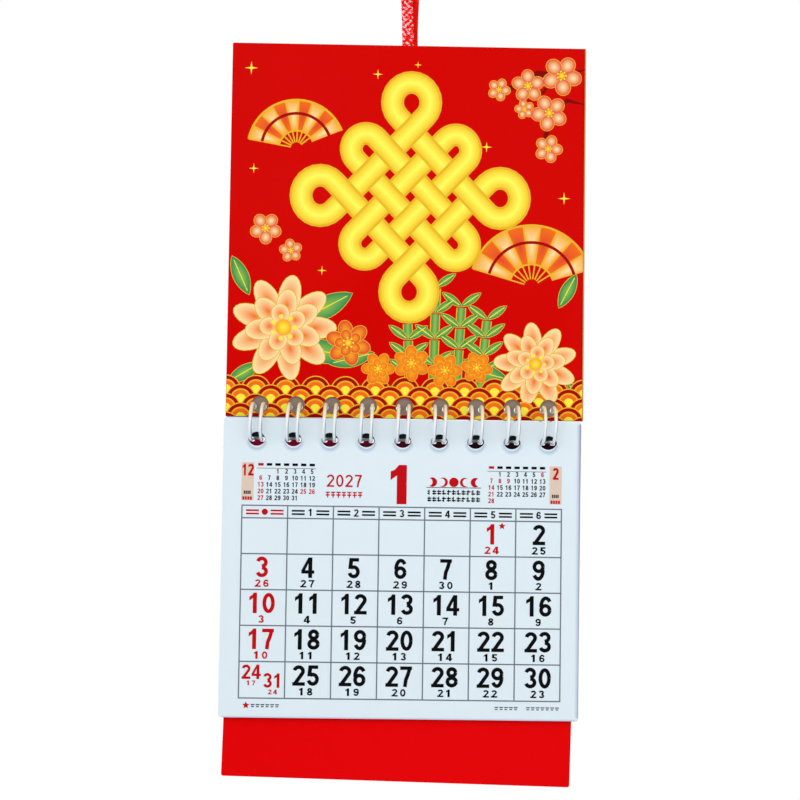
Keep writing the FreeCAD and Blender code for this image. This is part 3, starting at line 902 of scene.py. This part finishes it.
for number in range(5):
    u, v = heading["moonLeft"] + number * heading["moonPitch"], heading["moonLevel"]
    fill(ink, circle(u, v, heading["moon"]), pages["red"], 1)
    if number != 2:
        fill(ink, circle(u + (number - 2) * heading["shadowShift"], v, heading["shadow"]), pages["paper"], 1.5)
fill(ink, bar(*heading["rule"]), heading["ruleTone"], 1)
for row, level in enumerate(heading["textLevels"]):
    for number in range(heading["textCount"]):
        u = heading["textLeft"] + number * heading["textPitch"]
        fill(ink, bar(u, level - 0.15, 0.92 if (number + row) % 3 else 0.5, 0.3), pages["black"], 1)
        fill(ink, bar(u, level + 0.35, 0.92 if (number + row) % 4 else 0.5, 0.3), pages["black"], 1)
        fill(ink, bar(u + 0.25, level - 0.4, 0.24, 1.2), pages["black"], 1.5)


# A small month grid whose first day falls in a given column
def smallMonth(left, top, days, start, redDays, pitch, rise):
    for column in range(7):
        tone = pages["red"] if column == 0 else pages["black"]
        fill(ink, bar(left + column * pitch - 0.62, top + 0.14, 1.24, 0.6), tone, 1)
    fill(ink, bar(left - 0.9, top + 1.25, 6 * pitch + 1.8, 0.13), pages["line"], 1)
    for date in range(1, days + 1):
        cell = date + start - 1
        column, row = cell % 7, cell // 7
        tone = pages["red"] if column == 0 or date in redDays else pages["black"]
        write(ink, str(date), left + column * pitch, top + 1.98 + row * rise, 1.1, tone, 1, 0.2, 0.98, 0.1)


smallMonth(8.8, 10.5, 31, 2, (25, 26), 1.98, 1.54)
smallMonth(62.3, 10.5, 28, 1, (6, 8, 9), 1.98, 1.54)
for left, number, tall in ((4.4, "12", 2.75), (75.85, "2", 2.8)):
    fill(ink, bar(left, 10.5, 2.8, 8.8), pages["box"], 1)
    write(ink, number, left + 1.4, 12.2, tall, pages["red"], 2, 0.2, 0.8, 0.05)
    for level, wide, tone in ((17.05, 1.7, pages["black"]), (18.4, 2.3, pages["red"])):
        for number in range(4):
            fill(ink, bar(left + 1.4 - wide / 2 + number * wide / 4, level, wide / 4 - 0.12, 0.78), tone, 2)

# Painted shade at each hole: a crescent shaded from light to blue-grey for the sheet behind, seen at the foot of each
# hole, and a painted blue shade for the dented paper round it
for column in holeColumns:
    u, v = column - pages["left"], pages["top"] - pages["holeLevel"] + 0.1
    hole, well, wide = pages["holeRadius"], pages["wellRadius"], pages["pressedRadius"]
    strip(ink, arc(u, v - pages["wellDrop"], well, well, 20, 160, 20), arc(u, v, hole, hole, 8, 172, 20),
          pages["paintedWellLight"], pages["paintedWellShade"], -9)
    strip(ink, arc(u, v, hole, hole, 5, 175, 20), arc(u, v, wide, wide, 5, 175, 20), pages["paintedPressShade"],
          pages["paper"], -0.5)

# Painted blue-grey shade along the right and lower edges, where the sheets bend away
curlShade = {"reach": 0.85, "rim": 0.12, "low": 0.5}
sheetRight, foot, inset = pages["width"], pages["height"] + 0.1, pages["corner"]
outer, inner, begin = [[(sheetRight - away, inset), (sheetRight - away, foot - inset)]
                       for away in (0, curlShade["rim"], curlShade["reach"])]
strip(ink, begin, inner, pages["paper"], pages["curlShade"], 0)
strip(ink, inner, outer, pages["curlShade"], pages["curlShadeRim"], 0)
strip(ink, [(inset, foot - curlShade["low"]), (sheetRight - inset, foot - curlShade["low"])],
      [(inset, foot), (sheetRight - inset, foot)], pages["paper"], pages["curlShade"], 0)

# Offset ink on the paper
pageInk = inkMaterial("offsetInk", 0.5, 0.03)
pagePrint = makePrint("sheetPrint", ink, pages["left"], pages["top"] + 0.1, pages["front"], pageInk)
moveToRing(pagePrint)
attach(pagePrint, "pages")
print("sheet print made")

# ---- Backing board ----
board = {"left": -39.1, "width": 80.6, "drop": 1.35, "height": 81.45, "front": 1.0, "thickness": 0.6, "corner": 0.5,
         "holeLevel": -4.1, "holeRadius": 2.0, "askew": 1.3, "face": "#E40508", "faceLow": "#E00407", "back": "#D9D2C6",
         "backLow": "#CFC8BC", "edge": "#D8343C", "edgeLow": "#C7202A"}
boardOutline = roundedRectangle(board["left"], -board["drop"] - board["height"], board["left"] + board["width"],
                                -board["drop"], board["corner"])
boardHoles = [ovalHole(column, board["holeLevel"], board["holeRadius"]) for column in holeColumns]
backing = cutCard("backingCard", boardOutline, boardHoles, board["front"], board["thickness"], 0.06)
# Red printed card, its grey back and its cut edge
boardFace = stockMaterial("redCard", board["faceLow"], board["face"], 0.42, 0.015)
boardBack = stockMaterial("greyCardBack", board["backLow"], board["back"], 0.85)
boardEdge = stockMaterial("redCardEdge", board["edgeLow"], board["edge"], 0.8, mottle=0.3)
faceMaterials(backing, boardFace, boardBack, boardEdge)
shade(backing, 40, True)
backing.data.transform(Matrix.Translation((-board["holeLevel"] * math.sin(math.radians(board["askew"])) * mm, 0, 0))
                       @ Matrix.Rotation(math.radians(board["askew"]), 4, "Y"))
moveToRing(backing)
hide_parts("backing_board")
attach(backing, "board")
print("board made")

# ---- Header card ----
header = {"left": -41.6, "width": 84.0, "bottom": 1.1, "height": 88.7, "front": 1.8, "thickness": 0.7,
          "corner": 0.25, "holeLevel": 4.0, "holeRadius": 2.0, "holeShift": 0.28, "backing": 0.22, "eyeLevel": 3.46,
          "eyeHalf": 0.55, "eyeTall": 1.22, "rightEdgeStripWidth": 0.34, "rim": 0.12, "rightRim": 0.05,
          "red": "#CE0503", "glow": "#D40703",
          "back": "#DAD6CE", "backLow": "#D2CDC4", "edge": "#D9C3A0", "edgeLow": "#CDB48E", "liningShade": "#97877B",
          "liningShadeLow": "#8A7A6E", "rightEdgeStrip": "#C89A5A"}
headerOutline = roundedRectangle(header["left"], header["bottom"], header["left"] + header["width"],
                                 header["bottom"] + header["height"], header["corner"])
headerHoles = [(column + header["holeShift"], header["holeLevel"]) for column in holeColumns]
card = cutCard("headerCard", headerOutline, [ovalHole(x, z, header["holeRadius"]) for x, z in headerHoles],
               header["front"], header["thickness"] - header["backing"], 0.06)
# Laminated red card, its pale back and its cut edge
headerFace = stockMaterial("laminatedRedCard", header["red"], header["glow"], 0.3, 0.01, mottle=18.0, depth=0.001)
headerBack = stockMaterial("paleCardBack", header["backLow"], header["back"], 0.85)
headerEdge = stockMaterial("cutCardEdge", header["edgeLow"], header["edge"], 0.8, mottle=0.3)
faceMaterials(card, headerFace, headerBack, headerEdge)
shade(card, 40, True)
moveToRing(card)
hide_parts("header_card")
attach(card, "header")

# Thin sheet behind the header in a taupe of painted shade, seen through the holes, with two eyes for the wire in each
# hole
eyes = [ovalHole(column + side * wire["spacing"] / 2 + wire["lean"] * header["eyeLevel"] / 2, header["eyeLevel"],
                 header["eyeHalf"], header["eyeTall"]) for column in holeColumns for side in (-1, 1)]
headerLiningShade = stockMaterial("headerLiningPaintedShade", header["liningShadeLow"], header["liningShade"], 0.9, 0.05, mottle=0.5)
lining = cutCard("headerShadeLining", headerOutline, eyes, header["front"] + header["thickness"] - header["backing"],
                 header["backing"], 0.02)
faceMaterials(lining, headerLiningShade, headerBack, headerEdge)
shade(lining, 40, True)
moveToRing(lining)
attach(lining, "header")
print("header card made")

# Header print, measured from the card's top left corner
art = {"gold": "#FDEB45", "yolk": "#F4C92C", "glow": "#FFF75E", "rim": "#E9B52C", "amber": "#F5A524",
       "orange": "#F2701B", "cream": "#FBE3A6", "deep": "#A60905", "wine": "#7E0A06", "green": "#2F8A55",
       "leaf": "#8FBE4C", "coral": "#E2452E"}
ink = newInk()


# Every outline is laid under all fills of its group, so that joined shapes share one rim
def grouped(ink, outlines, rim, width, layer, shades):
    for line in outlines:
        stroke(ink, line, width * 2, rim, layer, closed=True)
    for line, (colour, heart) in zip(outlines, shades):
        fill(ink, line, colour, layer + 0.5, heart)


# Rings of petals, the outer ones first, about a heart of dots
def blossom(ink, u, v, radius, rings, colour, heart, layer, turn=0.0):
    for number, (share, count) in enumerate(rings):
        for part in (0, 1):
            lines = []
            for petal in range(part, count, 2):
                angle = turn + math.tau * petal / count + number * 0.35
                away = radius * share * 0.6
                lines.append(circle(u + away * math.cos(angle), v + away * math.sin(angle), radius * share * 0.42, 20,
                                    min(1.0, 2.9 / count * 1.55), angle))
            grouped(ink, lines, art["rim"], 0.16, layer + number * 2 + part, [(colour, heart)] * len(lines))
    top = layer + len(rings) * 2
    fill(ink, circle(u, v, radius * 0.16, 16), art["amber"], top, art["gold"])
    for dot in range(7):
        angle = math.tau * dot / 7
        fill(ink, circle(u + radius * 0.22 * math.cos(angle), v + radius * 0.22 * math.sin(angle), radius * 0.045, 8),
             art["gold"], top + 0.5)


def leafShape(ink, u, v, length, width, angle, colour, heart, layer):
    upper, lower = [], []
    for step in range(13):
        share = step / 12
        bulge = math.sin(math.pi * share) ** 0.8 * width / 2
        for side, line in ((1, upper), (-1, lower)):
            a, b = share * length, side * bulge
            line.append((u + a * math.cos(angle) - b * math.sin(angle), v + a * math.sin(angle) + b * math.cos(angle)))
    outline = upper + lower[::-1][1:-1]
    stroke(ink, outline, 0.3, art["rim"], layer, closed=True)
    fill(ink, outline, colour, layer + 0.5, heart)
    vein = [(u + share * length * math.cos(angle), v + share * length * math.sin(angle)) for share in (0.1, 0.5, 0.9)]
    stroke(ink, vein, 0.18, art["gold"], layer + 1)


# Bottom band: overlapping wave scales, each of three rings
scale = 3.5
for row in range(5):
    level = 80.6 + row * scale * 0.62
    for column in range(-1, 14):
        u = column * scale * 2 + (scale if row % 2 else 0)
        layer = 7 + row
        ink["shapes"] = 0
        for share, tone, heart in ((1.0, art["rim"], None), (0.93, art["deep"], None), (0.7, art["rim"], None),
                                   (0.6, art["orange"], None), (0.34, art["gold"], None)):
            fill(ink, circle(u, level + scale * 0.5, scale * share, 26), tone, layer, heart)
            layer += 0.16

# Jointed bamboo stalks with leaves at the joints, right of the middle
bamboo = {"foot": 82, "joints": 4, "gap": 0.35, "width": 1.8, "rim": 0.25, "leaf": 5.6, "leafWidth": 1.7,
          "spread": 0.95,
          "stalks": ((43.0, 66.0, -0.6), (48.5, 57.5, 0.5), (54.0, 62.0, 1.0), (59.5, 65.0, 1.6))}
for u, top, tilt in bamboo["stalks"]:
    for number in range(bamboo["joints"]):
        low, high = number / bamboo["joints"], (number + 1) / bamboo["joints"]
        u1, v1 = u + tilt * high, bamboo["foot"] + (top - bamboo["foot"]) * high
        joint = [(u + tilt * low, bamboo["foot"] + (top - bamboo["foot"]) * low), (u1, v1 + bamboo["gap"])]
        stroke(ink, joint, bamboo["width"] + 2 * bamboo["rim"], art["rim"], 0.2)
        stroke(ink, joint, bamboo["width"], art["green"], 0.7, heart=art["leaf"])
        for side in (-1, 1):
            leafShape(ink, u1, v1, bamboo["leaf"], bamboo["leafWidth"], side * bamboo["spread"] - math.pi / 2,
                      art["green"], art["leaf"], 1.4)


# Folding fan: blades between ribs, with a rim and two bands
def foldingFan(ink, u, v, radius, first):
    sweep, blades = 16.4, 9
    for number in range(blades):
        start = first + number * sweep
        blade = (arc(u, v, radius, radius, start, start + sweep, 5)
                 + arc(u, v, radius * 0.36, radius * 0.36, start + sweep, start, 5))
        tone, heart = (art["orange"], art["coral"]) if number % 2 else (art["amber"], art["cream"])
        fill(ink, blade, tone, 1.0, heart)
        rib = [arc(u, v, radius * share, radius * share, start, start, 1)[0] for share in (0.12, 1.0)]
        stroke(ink, rib, 0.32, art["rim"], 1.6)
    for share, width, tone, steps in ((1.0, 0.5, "rim", 40), (0.72, 0.7, "deep", 40), (0.36, 0.4, "rim", 30)):
        band = arc(u, v, radius * share, radius * share, first, first + blades * sweep, steps)
        stroke(ink, band, width, art[tone], 2)


foldingFan(ink, 71.5, 57.0, 14.5, 196)
foldingFan(ink, 15.5, 25.0, 11.5, 190)

# Loose blossoms at the left
for u, v, radius, turn in ((8.6, 44.2, 3.6, 0.3), (14.6, 49.4, 2.6, 0.8)):
    blossom(ink, u, v, radius, [(1.0, 5)], art["coral"], art["cream"], 2, turn)

# Plum branch from the upper right corner
stroke(ink, [(84, 5), (78, 6.5), (72.5, 6.2), (67, 9.5), (61.5, 10.4)], 1.5, art["wine"], 1, taper=True)
stroke(ink, [(84, 13.5), (79.5, 12.5), (76.5, 15.5), (74.5, 21), (75.5, 27)], 1.3, art["wine"], 1, taper=True)
stroke(ink, [(76.5, 6.6), (74, 10.5), (70, 13)], 0.7, art["wine"], 1, taper=True)
for u, v, radius, turn in ((78.2, 6.6, 4.6, 0.2), (70.2, 9.2, 3.8, 0.9), (75.3, 15.6, 4.2, 0.5), (63.3, 10.2, 2.6, 0.1),
                           (75.2, 24.2, 3.2, 1.3), (69.4, 14.8, 2.2, 0.7)):
    blossom(ink, u, v, radius, [(1.0, 5)], art["coral"], art["cream"], 2, turn)

# Peonies, camellias and leaves along the foot
for u, v, length, angle in ((17, 66, 14, -0.5), (15, 72, 15, 0.15), (5, 60, 10, -2.0), (66, 79, 11, -2.9),
                            (78, 62, 9, -1.1), (24, 76, 11, -0.25), (8, 76, 9, 2.6), (70, 81, 9, 2.9),
                            (80, 80, 8, 0.5)):
    leafShape(ink, u, v, length, length * 0.36, angle, art["green"], art["leaf"], 5.5)
blossom(ink, 13.2, 67.6, 12.2, [(1.0, 9), (0.72, 7), (0.45, 5)], art["cream"], art["orange"], 7.5)
blossom(ink, 72.6, 75.4, 9.6, [(1.0, 9), (0.72, 7), (0.45, 5)], art["cream"], art["orange"], 8.5, 0.4)
blossom(ink, 28.5, 71.0, 5.2, [(1.0, 6), (0.6, 5)], art["coral"], art["amber"], 7.5, 0.3)
for u, v, radius in ((35.6, 77.0, 3.8), (43.4, 75.6, 4.1), (51.3, 77.2, 3.9), (58.8, 76.4, 3.6)):
    blossom(ink, u, v, radius, [(1.0, 6), (0.6, 5)], art["orange"], art["amber"], 9, u)

# Small gold sparkles
for u, v, radius in ((4.5, 6.0, 1.6), (34.5, 7.0, 1.2), (26.5, 33.0, 1.1), (60.5, 24.0, 1.3), (79.0, 36.0, 1.5),
                     (5.5, 30.0, 1.2), (66.0, 33.0, 0.9), (22.0, 54.0, 1.1), (44.0, 4.6, 0.9)):
    tips = [(radius if i % 2 == 0 else radius * 0.2, math.tau * i / 8) for i in range(8)]
    fill(ink, [(u + reach * math.cos(turn), v + reach * math.sin(turn)) for reach, turn in tips], art["gold"], 1)


# ---- Lattice knot: gold bands woven over and under, drawn upright and turned by an eighth ----
knot = {"u": 42.6, "v": 36.2, "pitch": 7.0, "band": 4.3, "rim": 0.55, "tall": 1.06, "layer": 3.0}


def knotPlace(a, b):
    eighth = math.sqrt(0.5)
    return (knot["u"] + (a - b) * eighth * knot["pitch"], knot["v"] + (a + b) * eighth * knot["pitch"] * knot["tall"])


def knotBand(line, layer, closed=False):
    placed = [knotPlace(a, b) for a, b in line]
    stroke(ink, placed, knot["band"] + 2 * knot["rim"], art["rim"], layer, closed)
    stroke(ink, placed, knot["band"], art["yolk"], layer + 0.5, closed, heart=art["glow"])


rows = (-1.5, -0.5, 0.5, 1.5)
turnAt = 2.15
for level in rows:
    knotBand([(-turnAt, level), (turnAt, level)], knot["layer"])
# Side loops join the two middle bands, corner loops the outer ones
for side in (-1, 1):
    turns = [math.radians(-90 + 10 * step) for step in range(19)]
    loop = [(side * (turnAt - 0.3), -0.5), *[(side * (turnAt + 0.5 * math.cos(t)), 0.5 * math.sin(t)) for t in turns],
            (side * (turnAt - 0.3), 0.5)]
    knotBand(loop, knot["layer"])
    knotBand([(b, a) for a, b in loop], knot["layer"])
for signA, signB in ((-1, -1), (1, -1), (1, 1), (-1, 1)):
    line = [(signA * 1.9, signB * 1.5), (signA * turnAt, signB * 1.5)]
    for step in range(1, 18):
        turn = math.radians(-90 + 270 * step / 18)
        line.append((signA * (turnAt + 0.65 * math.cos(turn)), signB * (turnAt + 0.65 * math.sin(turn))))
    line += [(signA * 1.5, signB * turnAt), (signA * 1.5, signB * 1.9)]
    knotBand(line, knot["layer"])
for level in rows:
    knotBand([(level, -turnAt), (level, turnAt)], knot["layer"] + 1)
for i, a in enumerate(rows):
    for j, b in enumerate(rows):
        if (i + j) % 2:
            knotBand([(a - 0.42, b), (a + 0.42, b)], knot["layer"] + 2)

# A beige-gold strip along the right edge
rightEdgeStrip = bar(header["width"] - header["rightEdgeStripWidth"], 0, header["rightEdgeStripWidth"], header["height"])
fill(ink, rightEdgeStrip, header["rightEdgeStrip"], 20)

# Ink under the lamination
headerInk = inkMaterial("laminatedInk", 0.3, 0.02)
headerTop = header["bottom"] + header["height"]
printedField = (header["left"] + header["rim"], header["bottom"] + header["rim"],
                header["left"] + header["width"] - header["rightRim"], headerTop - header["rim"])
headerPrint = makePrint("headerPrint", ink, header["left"], headerTop, header["front"], headerInk, printedField,
                        headerHoles, header["holeRadius"] + 0.05)
moveToRing(headerPrint)
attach(headerPrint, "header")
print("header print made")

# ---- Stage: white studio, soft lamps ----
lamps = {"key": ((-0.35, -0.75, 0.30), 0.7, 3.7), "fill": ((0.45, -0.7, 0.05), 0.7, 2.7),
         "low": ((0.0, -0.6, -0.65), 0.6, 1.25), "back": ((0.1, 0.7, 0.2), 0.7, 3.0)}
aim = Vector((0, 0, -0.11))
for name, (place, width, power) in lamps.items():
    lamp = bpy.data.lights.new(name, "AREA")
    lamp.shape = "SQUARE"
    lamp.size = width
    lamp.energy = power
    holder = bpy.data.objects.new(name, lamp)
    scene.collection.objects.link(holder)
    holder.location = place
    holder.rotation_euler = (aim - Vector(place)).to_track_quat("-Z", "Y").to_euler()

# Plain pale floor, well below. The camera sees it white but for the shadow on it.
floorSizes = {"radius": 0.45, "level": -0.42, "sides": 96, "tone": "#F2F2F0", "white": 0.55}
floorTurns = [math.tau * side / floorSizes["sides"] for side in range(floorSizes["sides"])]
rim = [(floorSizes["radius"] * math.cos(turn), floorSizes["radius"] * math.sin(turn), floorSizes["level"])
       for turn in floorTurns]
floor, tree, shader = newMaterial("paleFloor")
shader.inputs["Base Color"].default_value = colourOf(floorSizes["tone"])
shader.inputs["Roughness"].default_value = 0.9
shader.inputs["Specular IOR Level"].default_value = 0.1
shader.inputs["Emission Color"].default_value = (1, 1, 1, 1)
path = addNode(tree, "ShaderNodeLightPath")
lit = mathNode(tree, "MULTIPLY", path.outputs["Is Camera Ray"], floorSizes["white"])
tree.links.new(lit.outputs[0], shader.inputs["Emission Strength"])
floorDisc = meshObject("paleFloor", rim, [range(floorSizes["sides"])], floor)

world = bpy.data.worlds.new("studio")
scene.world = world
world.use_nodes = True
tree = world.node_tree
tree.nodes.clear()
path = addNode(tree, "ShaderNodeLightPath")
seen = mathNode(tree, "MAXIMUM", path.outputs["Is Camera Ray"], path.outputs["Is Transmission Ray"])
seen = mathNode(tree, "MAXIMUM", seen, path.outputs["Is Glossy Ray"])
room = addNode(tree, "ShaderNodeBackground", {"Color": (1, 1, 1, 1), "Strength": 0.37})
white = addNode(tree, "ShaderNodeBackground", {"Color": (1, 1, 1, 1), "Strength": 1.0})
both = addNode(tree, "ShaderNodeMixShader", {0: seen, 1: room, 2: white})
addNode(tree, "ShaderNodeOutputWorld", {"Surface": both})
scene.view_settings.view_transform = "Standard"
print("stage set")
